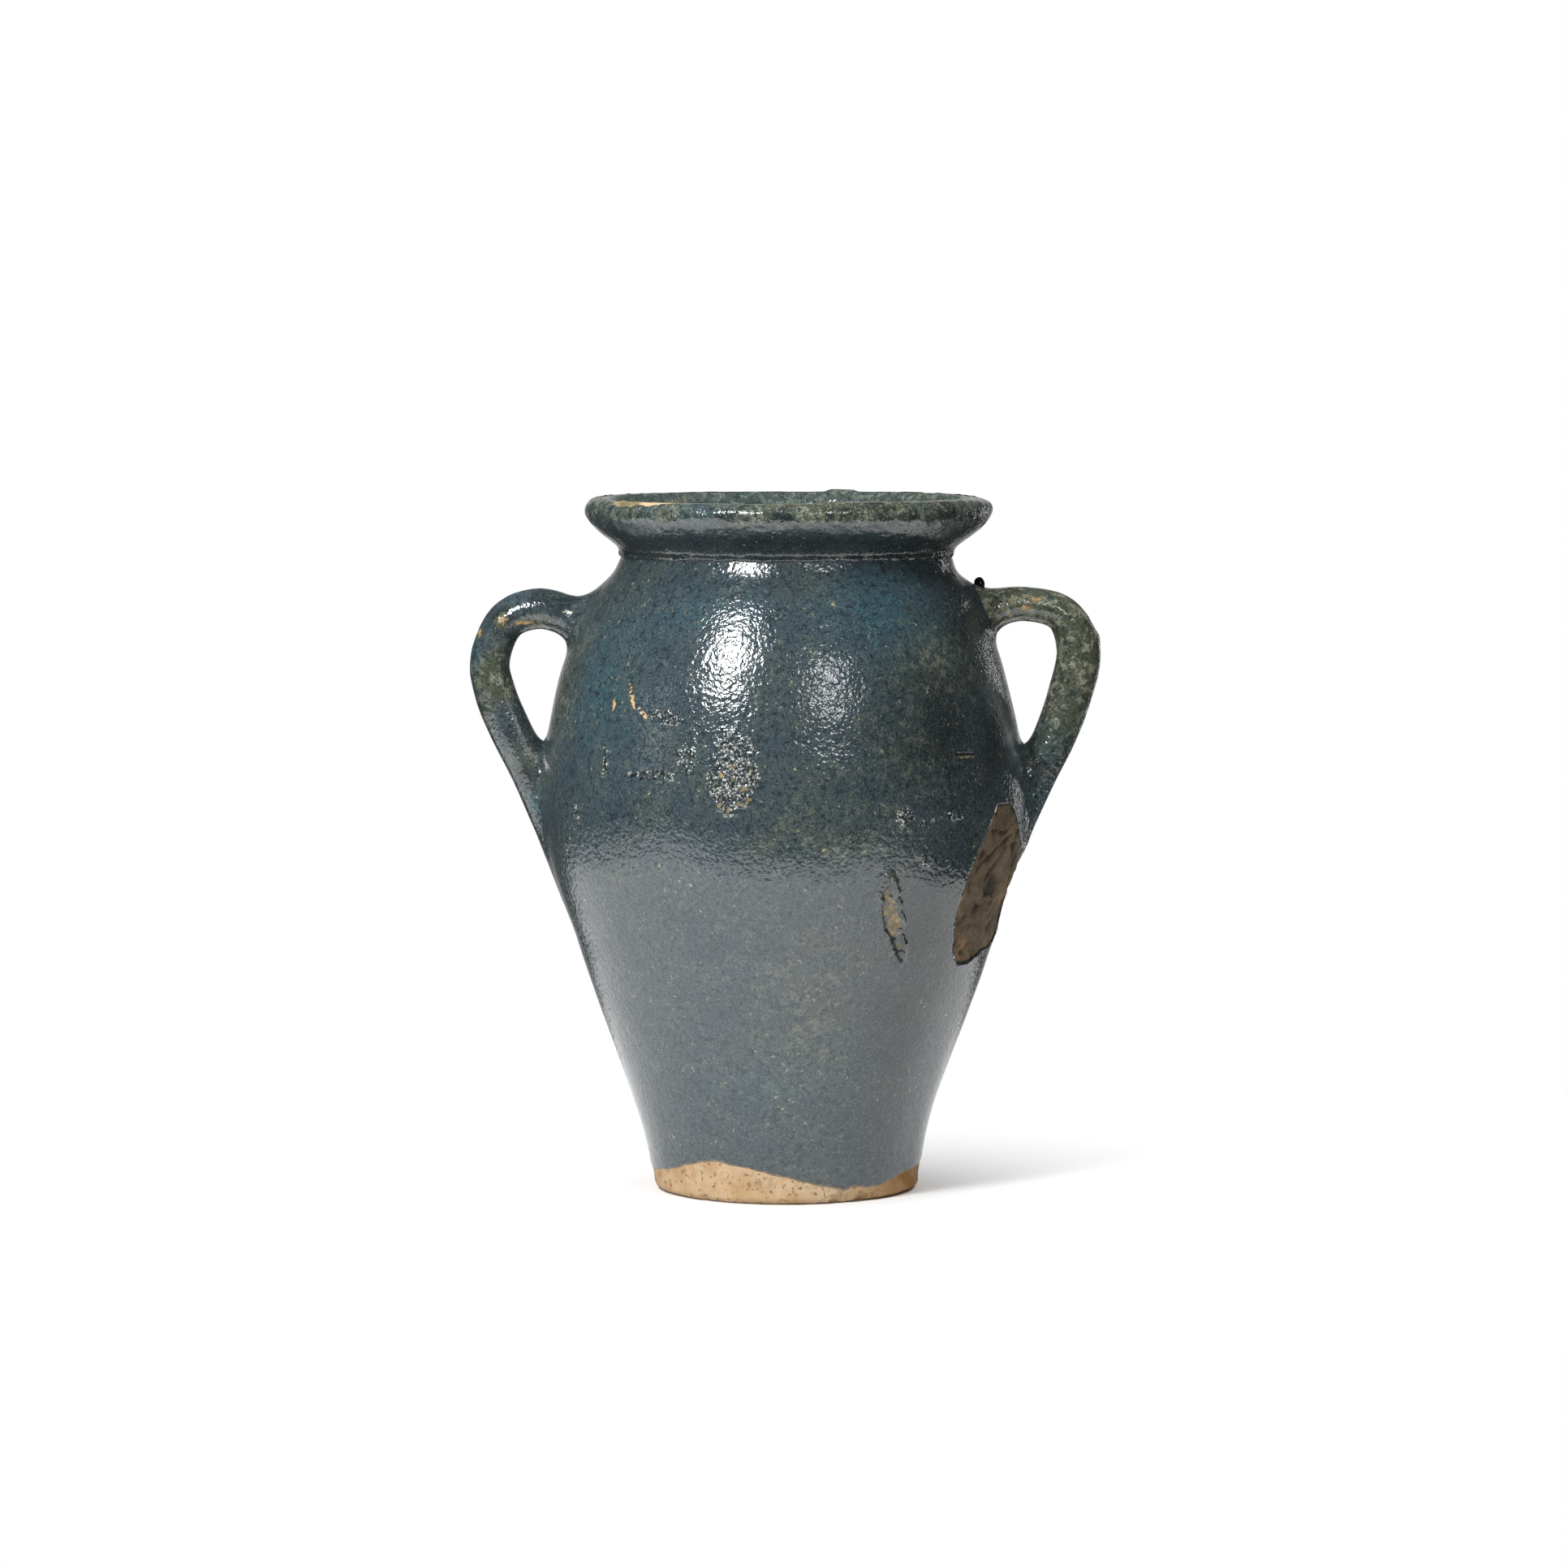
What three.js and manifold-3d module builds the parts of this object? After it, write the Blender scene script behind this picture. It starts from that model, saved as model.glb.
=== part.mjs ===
// A two-handled glazed storage jar, an amphora, as the pieces that a potter makes and joins.
// Millimetres, +Z up. The origin is the centre of the foot's underside and the handles lie along X.
import * as THREE from "three";
import { mergeVertices } from "three/addons/utils/BufferGeometryUtils.js";
import Module from "manifold-3d";

const wasm = await Module();
wasm.setup();

// ---- Driving dimensions ----

const FACETS = 36; // flat facets around every thrown piece
const GLAZE_GAP = 0.3; // from the clay to the underside of the glaze
const GLAZE_FACE = 1.0; // from the clay to the outer face of the glaze
const LINING_FACE = 0.9; // from the clay to the inner face of the lining

const FOOT_JOINT = 30; // heights at which the thrown pieces meet
const BELLY_JOINT = 229;
const NECK_JOINT = 365.5;
const LIP_JOINT = 383.5;
const CREST = [108.5, 399]; // radius and height of the lip's crest

// Contours of the clay, as points of radius and height, bottom to top.
const FOOT_OUTSIDE = [[0, 0], [71, 0], [74.4, 1.4], [76, 5], [77, 12], [80.3, FOOT_JOINT]];
const FOOT_INSIDE = [[0, 12], [42, 12], [56, 14], [65, 20], [69.5, FOOT_JOINT]];
const LOWER_OUTSIDE = [
  [80.3, FOOT_JOINT], [87, 54], [103, 98.5], [119, 144], [131.5, 181], [137.6, 206], [139, BELLY_JOINT],
];
const LOWER_INSIDE = [
  [69.5, FOOT_JOINT], [77.8, 54], [93.8, 98.5], [109.6, 144], [122, 181], [129.3, BELLY_JOINT],
];
const SHOULDER_OUTSIDE = [
  [139, BELLY_JOINT], [136.4, 254], [131.4, 279], [124.2, 306], [114.5, 331], [104.7, 348.2], [98.5, 357],
  [94.6, NECK_JOINT],
];
const SHOULDER_INSIDE = [
  [129.3, BELLY_JOINT], [126.8, 254], [121.8, 279], [114.4, 306], [104.8, 331], [89, 357], [86.2, NECK_JOINT],
];
const COLLAR_OUTSIDE = [[94.6, NECK_JOINT], [97, 371.5], [103.6, 377.3], [111.1, LIP_JOINT]];
const COLLAR_INSIDE = [[86.2, NECK_JOINT], [89.5, 371.5], [98.5, LIP_JOINT]];
const LIP_OUTSIDE = [[111.1, LIP_JOINT], [114.6, 388], [116.2, 392.3], [115.3, 395.7], [112.3, 398.2], CREST];
const LIP_INSIDE = [[98.5, LIP_JOINT], [99.8, 389.5], [101.5, 394.5], [104.6, 397.8], [107.6, 398.8], CREST];

// Each pulled handle: its centre line from the shoulder out and down to the belly, and the centre of the
// thumbed-down clay at its upper end, as distance from the axis and height.
const LEFT_HANDLE = {
  side: -1,
  line: [
    [100, 329], [120, 330.5], [143, 335.5], [161, 328.3], [170.6, 305], [167.3, 286], [160, 268],
    [146.5, 240.7], [131.6, 206.7], [117, 174],
  ],
  root: [115, 327.5],
};
const RIGHT_HANDLE = {
  side: 1,
  line: [
    [100, 334], [120, 335.8], [138, 338], [159.5, 332.5], [168.8, 312], [164.3, 286], [155.8, 263],
    [145, 240.7], [129.2, 206.7], [114.5, 174],
  ],
  root: [115, 331.5],
};
const STRAP_WIDTH = 28; // across the pull, along Y
const STRAP_THICKNESS = 21.5;
const SECTION_SIDES = 12;
const SECTION_STEPS = 20;
const ROOT_HALF = [18, 18.5, 14];

// The wavy line where the glaze stops, as points of bearing in degrees and height. Bearing 0 is -Y, 90 is +X.
const GLAZE_LINE = [
  [-90, 9.6], [-50, 18.5], [-30, 23.7], [0, 15.5], [27, 8.2], [45, 8.2], [62, 12.8], [95, 14], [130, 9],
  [165, 17], [200, 21], [235, 12], [270, 9.6],
];
const LINE_STEPS = 96;
const CUTTER_RADIUS = 100; // wider than the foot and the wall above it
const CUTTER_DEPTH = 20;

// The large flake that has come off below the right handle, as points of bearing in degrees and height.
const FLAKE_BEARING = 76;
const FLAKE_WALL = 135; // radius of the wall there
const FLAKE_REACH = [60, 150]; // distances from the axis between which its cutter lies
const FLAKE_OUTLINE = [
  [59, 225], [68, 223], [73, 200], [88, 193], [99, 185], [103, 168], [99, 151], [88, 141], [74, 141],
  [60, 137], [54, 150], [51, 170], [50.5, 190], [54, 209],
];

const BEAD_HALF = [3.2, 3.2, 4.2]; // a drop of fused glaze in the crook of the right handle
const BEAD_CENTRE = [111.6, 0, 350.2];
const MOUTH_CUT = 40; // height of the plug that keeps the outside glaze off the mouth

const CLAY_COLOUR = 0xb58c5e;
const GLAZE_COLOUR = 0x24424c;

// ---- Meshes to solids and back ----

function solidOf(geometry) {
  const bare = geometry.clone();
  for (const name of ["normal", "uv"]) bare.deleteAttribute(name);
  const merged = mergeVertices(bare, 1e-4);
  const corners = [];
  const index = merged.index.array;
  for (let i = 0; i < index.length; i += 3) {
    const [a, b, c] = index.subarray(i, i + 3);
    if (a !== b && b !== c && c !== a) corners.push(a, b, c);
  }
  return new wasm.Manifold(
    new wasm.Mesh({
      numProp: 3,
      vertProperties: merged.attributes.position.array,
      triVerts: new Uint32Array(corners),
    }),
  );
}

function geometryOf(solid) {
  const mesh = solid.getMesh();
  const geometry = new THREE.BufferGeometry();
  geometry.setAttribute("position", new THREE.BufferAttribute(mesh.vertProperties, mesh.numProp));
  geometry.setIndex(new THREE.BufferAttribute(mesh.triVerts, 1));
  return geometry;
}

// ---- Thrown pieces ----

// A contour's points, as radius and height.
function lineOf(points) {
  return points.map(([r, z]) => new THREE.Vector2(r, z));
}

// The line moved sideways by a distance, to its right when it runs upwards, which is outwards.
function offset(line, distance) {
  return line.map((point, i) => {
    const before = line[Math.max(i - 1, 0)];
    const after = line[Math.min(i + 1, line.length - 1)];
    const along = after.clone().sub(before).normalize();
    return new THREE.Vector2(point.x + along.y * distance, point.y - along.x * distance);
  });
}

// Turns a closed outline about Z. The outline runs up its outer side and down its inner side.
function thrown(outline) {
  const geometry = new THREE.LatheGeometry([...outline, outline[0]], FACETS);
  return solidOf(geometry.rotateX(Math.PI / 2));
}

function ring(outside, inside) {
  return thrown([...outside, ...inside.toReversed()]);
}

const foot = ring(lineOf(FOOT_OUTSIDE), lineOf(FOOT_INSIDE));
const lowerWall = ring(lineOf(LOWER_OUTSIDE), lineOf(LOWER_INSIDE));
const shoulderWall = ring(lineOf(SHOULDER_OUTSIDE), lineOf(SHOULDER_INSIDE));
const neckCollar = ring(lineOf(COLLAR_OUTSIDE), lineOf(COLLAR_INSIDE));
const rolledLip = ring(lineOf(LIP_OUTSIDE), lineOf(LIP_INSIDE.slice(0, -1)));

// ---- The whole outer form, grown by a distance ----

const OUTER_FORM = [
  ...FOOT_OUTSIDE.slice(1, -1),
  ...LOWER_OUTSIDE,
  ...SHOULDER_OUTSIDE.slice(1),
  ...COLLAR_OUTSIDE.slice(1),
  ...LIP_OUTSIDE.slice(1),
];

// The jar filled in, without handles.
function filledJar(growth) {
  const skin = offset(lineOf(OUTER_FORM), growth);
  const crest = CREST[1] + growth;
  return thrown([new THREE.Vector2(0, -growth), ...skin, new THREE.Vector2(0, crest)]);
}

function strap({ side, line }, growth) {
  const path = new THREE.CatmullRomCurve3(line.map(([x, z]) => new THREE.Vector3(side * x, 0, z)));
  const section = new THREE.Shape().absellipse(
    0, 0, STRAP_WIDTH / 2 + growth, STRAP_THICKNESS / 2 + growth, 0, 2 * Math.PI,
  );
  return new THREE.ExtrudeGeometry(section, {
    steps: SECTION_STEPS,
    curveSegments: SECTION_SIDES / 2,
    extrudePath: path,
  });
}

function ellipsoid(half, growth, centre) {
  const ball = new THREE.SphereGeometry(1, 12, 8);
  return ball.scale(...half.map((h) => h + growth)).translate(...centre);
}

function handleForm(form, growth) {
  const root = ellipsoid(ROOT_HALF, growth, [form.side * form.root[0], 0, form.root[1]]);
  return solidOf(strap(form, growth)).add(solidOf(root));
}

// A handle, cut off where it is pressed onto the wall.
function handle(form) {
  return handleForm(form, 0).subtract(filledJar(GLAZE_GAP));
}

// ---- Glaze ----

function bearingOf(x, y) {
  return THREE.MathUtils.radToDeg(Math.atan2(x, -y));
}

// The glaze line's height at a bearing, from points in order of bearing that go once round the foot.
function lineHeight(points, bearing) {
  const first = points[0].x;
  const turned = THREE.MathUtils.euclideanModulo(bearing - first, 360) + first;
  const after = Math.max(points.findIndex((point) => point.x >= turned), 1);
  const [a, b] = [points[after - 1], points[after]];
  return THREE.MathUtils.mapLinear(turned, a.x, b.x, a.y, b.y);
}

// A disc whose top follows the glaze line, which takes away the glaze below that line.
function bareFootCutter() {
  const line = new THREE.SplineCurve(GLAZE_LINE.map(([bearing, z]) => new THREE.Vector2(bearing, z)));
  const points = line.getPoints(LINE_STEPS);
  const disc = new THREE.CylinderGeometry(CUTTER_RADIUS, CUTTER_RADIUS, CUTTER_DEPTH, FACETS);
  const place = disc.rotateX(Math.PI / 2).attributes.position;
  for (let i = 0; i < place.count; i++) {
    const [x, y] = [place.getX(i), place.getY(i)];
    const onTop = place.getZ(i) > 0;
    const onRim = Math.hypot(x, y) > CUTTER_RADIUS / 2;
    const top = onRim ? lineHeight(points, bearingOf(x, y)) : 0;
    place.setZ(i, onTop ? top : -CUTTER_DEPTH);
  }
  return solidOf(disc);
}

// A prism that points out of the wall and opens the glaze over the flake.
function flakeCutter() {
  const outline = FLAKE_OUTLINE.map(([bearing, z]) => {
    const across = FLAKE_WALL * Math.sin(THREE.MathUtils.degToRad(bearing - FLAKE_BEARING));
    return new THREE.Vector2(across, z);
  });
  const [near, far] = FLAKE_REACH;
  const prism = new THREE.ExtrudeGeometry(new THREE.Shape(outline), {
    depth: far - near,
    bevelEnabled: false,
  });
  prism.rotateX(Math.PI / 2).translate(0, -near, 0);
  return solidOf(prism.rotateZ(THREE.MathUtils.degToRad(FLAKE_BEARING)));
}

function mouthCutter() {
  const plug = new THREE.CylinderGeometry(CREST[0], CREST[0], MOUTH_CUT, FACETS);
  plug.rotateX(Math.PI / 2).translate(0, 0, CREST[1] - GLAZE_FACE + MOUTH_CUT / 2);
  return solidOf(plug);
}

// The jar with both handles, filled in and grown.
function filledForm(growth) {
  return filledJar(growth).add(handleForm(LEFT_HANDLE, growth)).add(handleForm(RIGHT_HANDLE, growth));
}

function outsideGlaze() {
  return filledForm(GLAZE_FACE)
    .subtract(filledForm(GLAZE_GAP))
    .subtract(mouthCutter())
    .subtract(bareFootCutter())
    .subtract(flakeCutter());
}

// The poured lining, from the lip's crest down over the floor.
function liningGlaze() {
  const wall = lineOf([
    ...FOOT_INSIDE.slice(1, -1),
    ...LOWER_INSIDE,
    ...SHOULDER_INSIDE.slice(1),
    ...COLLAR_INSIDE.slice(1),
    ...LIP_INSIDE.slice(1, -1),
  ]);
  const floor = FOOT_INSIDE[0][1];
  const clayFace = [new THREE.Vector2(0, floor + GLAZE_GAP), ...offset(wall, -GLAZE_GAP)];
  const glazeFace = [new THREE.Vector2(0, floor + LINING_FACE), ...offset(wall, -LINING_FACE)];
  return ring(clayFace, glazeFace);
}

function glazeBead() {
  return solidOf(ellipsoid(BEAD_HALF, 0, BEAD_CENTRE)).subtract(filledForm(GLAZE_FACE + GLAZE_GAP));
}

// ---- Assembly ----

const clay = new THREE.MeshStandardMaterial({ color: CLAY_COLOUR, roughness: 0.9, metalness: 0 });
const glaze = new THREE.MeshStandardMaterial({ color: GLAZE_COLOUR, roughness: 0.12, metalness: 0 });
const pieces = {
  foot: [foot, clay],
  lower_wall: [lowerWall, clay],
  shoulder_wall: [shoulderWall, clay],
  neck_collar: [neckCollar, clay],
  rolled_lip: [rolledLip, clay],
  handle_left: [handle(LEFT_HANDLE), clay],
  handle_right: [handle(RIGHT_HANDLE), clay],
  outside_glaze: [outsideGlaze(), glaze],
  lining_glaze: [liningGlaze(), glaze],
  glaze_bead: [glazeBead(), glaze],
};

const amphora = new THREE.Group();
for (const [name, [solid, material]] of Object.entries(pieces)) {
  const mesh = new THREE.Mesh(geometryOf(solid), material);
  mesh.name = name;
  amphora.add(mesh);
}

export default amphora;
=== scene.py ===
# A thrown, two-handled earthenware jar with a dark teal gloss glaze, standing on a pale floor.
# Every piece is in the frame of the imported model: metres, +Z up, handles along X, the front towards -Y.
import math

import bmesh
import bpy
import numpy as np
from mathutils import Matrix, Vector, noise


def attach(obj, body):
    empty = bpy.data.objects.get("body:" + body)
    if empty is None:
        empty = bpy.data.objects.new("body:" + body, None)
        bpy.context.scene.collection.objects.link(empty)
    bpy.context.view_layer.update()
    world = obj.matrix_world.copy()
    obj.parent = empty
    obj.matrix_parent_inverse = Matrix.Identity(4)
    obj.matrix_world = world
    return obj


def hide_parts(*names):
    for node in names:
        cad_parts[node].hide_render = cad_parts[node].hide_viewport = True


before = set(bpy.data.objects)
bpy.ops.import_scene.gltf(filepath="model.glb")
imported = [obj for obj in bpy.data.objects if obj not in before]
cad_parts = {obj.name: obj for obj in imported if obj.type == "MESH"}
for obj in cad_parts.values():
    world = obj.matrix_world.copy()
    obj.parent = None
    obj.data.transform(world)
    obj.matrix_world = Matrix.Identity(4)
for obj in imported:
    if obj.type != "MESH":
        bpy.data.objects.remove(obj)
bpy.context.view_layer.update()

# ---- The clay of the foot ----
# The foot is the thick base that the thrower leaves on the wheel: a floor, a short upright wall and a
# rounded lower edge. It is buff earthenware, left bare and wiped, so it shows grit, pits and drips.

MM = 0.001
FOOT_TURNS = 300  # steps of the wheel in a full turn of the mesh
FOOT_JOINT = 30.0
FLOOR = 12.0


def curve_through(points, spacing):
    """Points about a spacing apart along a smooth curve through the given points, in any dimension."""
    p = np.array(points, float)
    p = np.vstack([2 * p[0] - p[1], p, 2 * p[-1] - p[-2]])
    fine = []
    for a, b, c, d in zip(p, p[1:], p[2:], p[3:]):
        t0 = 0.0
        t1 = t0 + math.sqrt(np.linalg.norm(b - a))
        t2 = t1 + math.sqrt(np.linalg.norm(c - b))
        t3 = t2 + math.sqrt(np.linalg.norm(d - c))
        t = np.linspace(t1, t2, 24, endpoint=False)[:, None]
        ab = (t1 - t) / (t1 - t0) * a + (t - t0) / (t1 - t0) * b
        bc = (t2 - t) / (t2 - t1) * b + (t - t1) / (t2 - t1) * c
        cd = (t3 - t) / (t3 - t2) * c + (t - t2) / (t3 - t2) * d
        abc = (t2 - t) / (t2 - t0) * ab + (t - t0) / (t2 - t0) * bc
        bcd = (t3 - t) / (t3 - t1) * bc + (t - t1) / (t3 - t1) * cd
        fine.append((t2 - t) / (t2 - t1) * abc + (t - t1) / (t2 - t1) * bcd)
    fine = np.vstack([*fine, p[-2]])
    along = np.concatenate([[0], np.cumsum(np.linalg.norm(np.diff(fine, axis=0), axis=1))])
    even = np.linspace(0, along[-1], max(2, round(along[-1] / spacing) + 1))
    return np.stack([np.interp(even, along, column) for column in fine.T], axis=1)


def throw(outline, turns):
    """Spins an outline of radius and height, in mm, once round the axis."""
    bm = bmesh.new()
    verts = [bm.verts.new((r * MM, 0, z * MM)) for r, z in outline]
    edges = [bm.edges.new(pair) for pair in zip(verts, verts[1:])]
    bmesh.ops.spin(bm, geom=verts + edges, axis=(0, 0, 1), angle=math.tau, steps=turns, use_merge=True)
    bmesh.ops.remove_doubles(bm, verts=bm.verts, dist=0.001 * MM)
    bmesh.ops.recalc_face_normals(bm, faces=bm.faces)
    return bm


def places(bm):
    """Positions in mm and normals of a mesh's vertices."""
    bm.normal_update()
    p = np.array([v.co for v in bm.verts]) / MM
    n = np.array([v.normal for v in bm.verts])
    return p, n


def put(bm, p):
    """Moves a mesh's vertices to places in mm."""
    for v, place in zip(bm.verts, p * MM):
        v.co = place


def piece(name, bm, material, **attributes):
    """A smooth-shaded object of the mesh, with a float attribute on its points for each keyword."""
    mesh = bpy.data.meshes.new(name)
    bm.to_mesh(mesh)
    bm.free()
    mesh.shade_smooth()
    mesh.materials.append(material)
    for key, values in attributes.items():
        mesh.attributes.new(key, "FLOAT", "POINT").data.foreach_set("value", np.asarray(values, np.float32))
    made = bpy.data.objects.new(name, mesh)
    bpy.context.scene.collection.objects.link(made)
    return made


def lumps(p, size, seed=0.0):
    """Smooth noise from -1 to 1 at each point, with lumps of that size in mm."""
    q = p / size + seed
    return np.array([noise.noise(Vector(v)) for v in q])


def bearing(p):
    """Degrees round the jar from the front, towards +X."""
    return np.degrees(np.arctan2(p[:, 0], -p[:, 1]))


def ease(x, low, high):
    """0 below low, 1 above high, and smooth between."""
    t = np.clip((x - low) / (high - low), 0, 1)
    return t * t * (3 - 2 * t)


LEAN_HEIGHTS = [0, 50, 100, 150, 200, 235, 295, 330, 360, 375, 400]
LEAN = [0.5, -0.6, -0.1, 0.1, -0.2, -1, -2, -1.2, 0, 1.2, 1.5]  # in mm, at those heights


def lean(z):
    """How far the thrown walls stand off the axis, towards +X, at a height."""
    return np.interp(z, LEAN_HEIGHTS, LEAN)


def throwing(p):
    """The slight rings and flats that fingers leave in a thrown wall, in mm, by position."""
    turn = np.radians(bearing(p))
    z = p[:, 2]
    rings = 0.07 * np.sin(math.tau * z / 31 + turn + 0.8) * (1 + np.sin(2 * turn + z / 40))
    flats = 0.3 * np.cos(2 * turn + z / 90 + 1.1) + 0.18 * np.cos(3 * turn - z / 60)
    return rings + flats


def srgb(code):
    """A hex colour as linear red, green, blue and alpha."""
    parts = [int(code[i : i + 2], 16) / 255 for i in (1, 3, 5)]
    return [c / 12.92 if c <= 0.04045 else ((c + 0.055) / 1.055) ** 2.4 for c in parts] + [1.0]


def new_material(name):
    made = bpy.data.materials.new(name)
    made.use_nodes = True
    made.node_tree.nodes.clear()
    return made


def node(owner, kind, inputs=(), output=None, **settings):
    """Adds a node with its settings, fills its inputs in order or by name with values or links, and gives
    the named output or else the first."""
    made = owner.node_tree.nodes.new("ShaderNode" + kind)
    for key, value in settings.items():
        setattr(made, key, value)
    used = [socket for socket in made.inputs if socket.enabled]
    for key, value in inputs.items() if isinstance(inputs, dict) else enumerate(inputs):
        socket = made.inputs[key] if isinstance(key, str) else used[key]
        if isinstance(value, bpy.types.NodeSocket):
            owner.node_tree.links.new(value, socket)
        else:
            socket.default_value = value
    if output:
        return made.outputs[output]
    return next((socket for socket in made.outputs if socket.enabled), None)


# Settings that many nodes share: mixing colours, a soft ramp, and products, left free or held from 0 to 1.
COLOUR = {"data_type": "RGBA"}
SOFT = {"interpolation_type": "SMOOTHSTEP"}
TIMES = {"operation": "MULTIPLY"}
TIMES_HELD = {"operation": "MULTIPLY", "use_clamp": True}

# Buff earthenware, fired low and left bare: matte and open, warm buff that turns orange where the flame
# caught it, with grit, small pits, brown iron stains and hairline drying cracks.
# Each layer: patch size in mm, detail, roughness, where in the noise it starts and is full, colour.
CLAY_LAYERS = [
    (16, 3, 0.6, 0.55, 0.72, "#ae875c"),
    (1.3, 4, 0.7, 0.52, 0.74, "#a88c62"),
    (4, 2, 0.5, 0.66, 0.74, "#7d5c3c"),
    (9, 5, 0.7, 0.6, 0.72, "#968462"),
    (2.6, 3, 0.6, 0.42, 0.3, "#8b6e49"),
]


def buff_earthenware():
    m = new_material("buff_earthenware")
    here = node(m, "TexCoord", output="Object")
    flame = node(m, "TexNoise", (here, 1 / (30 * MM), 3))
    share = node(m, "MapRange", (flame, 0.34, 0.5))
    colour = node(m, "Mix", (share, srgb("#b0946f"), srgb("#bca282")), **COLOUR)
    share = node(m, "MapRange", (flame, 0.5, 0.66))
    colour = node(m, "Mix", (share, colour, srgb("#bfaa8e")), **COLOUR)
    shares = []
    for size, detail, rough, start, full, code in CLAY_LAYERS:
        noise_here = node(m, "TexNoise", (here, 1 / (size * MM), detail, rough))
        shares.append(node(m, "MapRange", (noise_here, start, full), **SOFT))
        colour = node(m, "Mix", (shares[-1], colour, srgb(code)), **COLOUR)
    grit = shares[1]
    pits = shares[4]
    toasted = node(m, "Attribute", output="Fac", attribute_name="toasted")
    toast = node(m, "Mix", (flame, srgb("#b08049"), srgb("#6f4d2b")), **COLOUR)
    colour = node(m, "Mix", (toasted, colour, toast), **COLOUR)
    warp = node(m, "TexNoise", (here, 1 / (8 * MM), 3), output="Color")
    bent = node(m, "VectorMath", (warp, (12 * MM, 12 * MM, 12 * MM), here), operation="MULTIPLY_ADD")
    cells = node(m, "TexVoronoi", (bent, 1 / (13 * MM)), feature="DISTANCE_TO_EDGE")
    crack = node(m, "MapRange", (cells, 0.022, 0), **SOFT)
    crack = node(m, "Math", (crack, node(m, "MapRange", (flame, 0.54, 0.62), **SOFT)), **TIMES)
    colour = node(m, "Mix", (crack, colour, srgb("#7a5a36")), **COLOUR)
    height = node(m, "Math", (grit, 0.45), **TIMES)
    height = node(m, "Math", (pits, -1.3, height), operation="MULTIPLY_ADD")
    height = node(m, "Math", (crack, -1.5, height), operation="MULTIPLY_ADD")
    bump = node(m, "Bump", {"Height": height, "Strength": 0.8, "Distance": 0.35 * MM})
    look = {"Base Color": colour, "Roughness": 0.88, "Normal": bump, "Specular IOR Level": 0.3}
    node(m, "OutputMaterial", {"Surface": node(m, "BsdfPrincipled", look)})
    return m


bare_clay = buff_earthenware()

# The clay's outer face from the foot to the neck's crease, as points of radius and height.
CLAY_FACE = [
    (76.6, 4), (77.3, 12), (80.4, 30), (86.9, 53), (94.8, 75.7), (103.2, 98.5), (111.4, 121.4),
    (118.9, 144), (127.1, 167), (133.6, 186), (137.6, 206), (139, 229), (136.3, 254), (131.7, 279),
    (124.8, 306), (114.7, 331), (104.9, 348.2), (97.8, 357.2), (94.4, 365.6),
]
WALL_INSIDE = [
    (69.5, FOOT_JOINT), (77.8, 54), (93.8, 98.5), (109.6, 144), (122, 181), (128.5, 210), (129.3, 229),
    (126.8, 254), (121.8, 279), (114.4, 306), (104.8, 331), (95, 348.2), (89, 357), (86.2, 365.5),
]
clay_face = curve_through(CLAY_FACE, 0.5)


def face_between(face, low, high, spacing):
    """The stretch of a face between two heights, resampled."""
    heights = np.linspace(low, high, max(2, round((high - low) / spacing) + 1))
    return np.stack([np.interp(heights, face[:, 1], face[:, 0]), heights], axis=1)


# Chips knocked out of the foot's lower edge: bearing, height, radius in mm and depth.
FOOT_CHIPS = [(22, 1.5, 5, 1.6), (27, 3, 3.5, 1.2), (35, 0.5, 6, 2.0), (42, 2.5, 4, 1.4), (-38, 1, 4, 1.0)]
foot_corner = curve_through([(68, 0), (71.6, 0.1), (74.4, 1.2), (76.1, 2.6), (76.6, 4)], 0.7)
foot_outside = face_between(clay_face, 4.0, FOOT_JOINT, 0.9)[1:]
foot_inside = curve_through([(69.5, FOOT_JOINT), (65, 20), (56, 14), (42, FLOOR), (0, FLOOR)], 4)
underside = np.stack([np.linspace(0, 68, 60), np.zeros(60)], axis=1)[:-1]
bm = throw(np.vstack([underside, foot_corner, foot_outside, foot_inside]), FOOT_TURNS)
p, n = places(bm)
turn = bearing(p)
outer = (n * p * [1, 1, 0]).sum(axis=1) > 0
rise = 0.3 * lumps(p, 13) + 0.2 * lumps(p * [1, 1, 1.8], 5, 2) + 0.1 * lumps(p, 2.2, 5)
below = (n[:, 2] < -0.7) & (p[:, 2] < 0.5)
radius = np.hypot(p[:, 0], p[:, 1])
rise = np.where(below, -0.25 + 0.12 * np.sin(radius * 1.1) + 0.05 * lumps(p, 4), rise)
for at, z, size, depth in FOOT_CHIPS:
    centre = 76.5 * np.array([math.sin(math.radians(at)), -math.cos(math.radians(at)), 0]) + [0, 0, z]
    away = np.linalg.norm(p - centre, axis=1) + 0.8 * lumps(p, 2, at)
    rise -= depth * (1 - ease(away, size * 0.55, size))
p = p + n * np.where(outer | below, rise + np.where(below, 0, throwing(p)), 0)[:, None]
p[:, 0] += lean(p[:, 2])
p[:, 2] = np.maximum(p[:, 2], 0)
put(bm, p)
toasted = 0.35 * ease(turn + 8 * lumps(p, 9, 3), 12, 30) + 0.4 * ease(turn + 12 * lumps(p, 7, 4), 38, 66)
toasted = toasted * (1 - ease(turn, 120, 170)) + 0.3 * ease(lumps(p, 14, 6), 0.1, 0.5) * ~below
clay_foot = piece("clay_foot", bm, bare_clay, toasted=np.clip(toasted, 0, 1))
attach(clay_foot, "root")
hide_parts("foot")

# ---- The clay of the lower wall, with the flake ----
# The long conical wall was thrown as its own section and luted on. Below the right handle a flake of
# glaze and skin has sprung off and left a shallow, weathered break in the clay.

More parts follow.
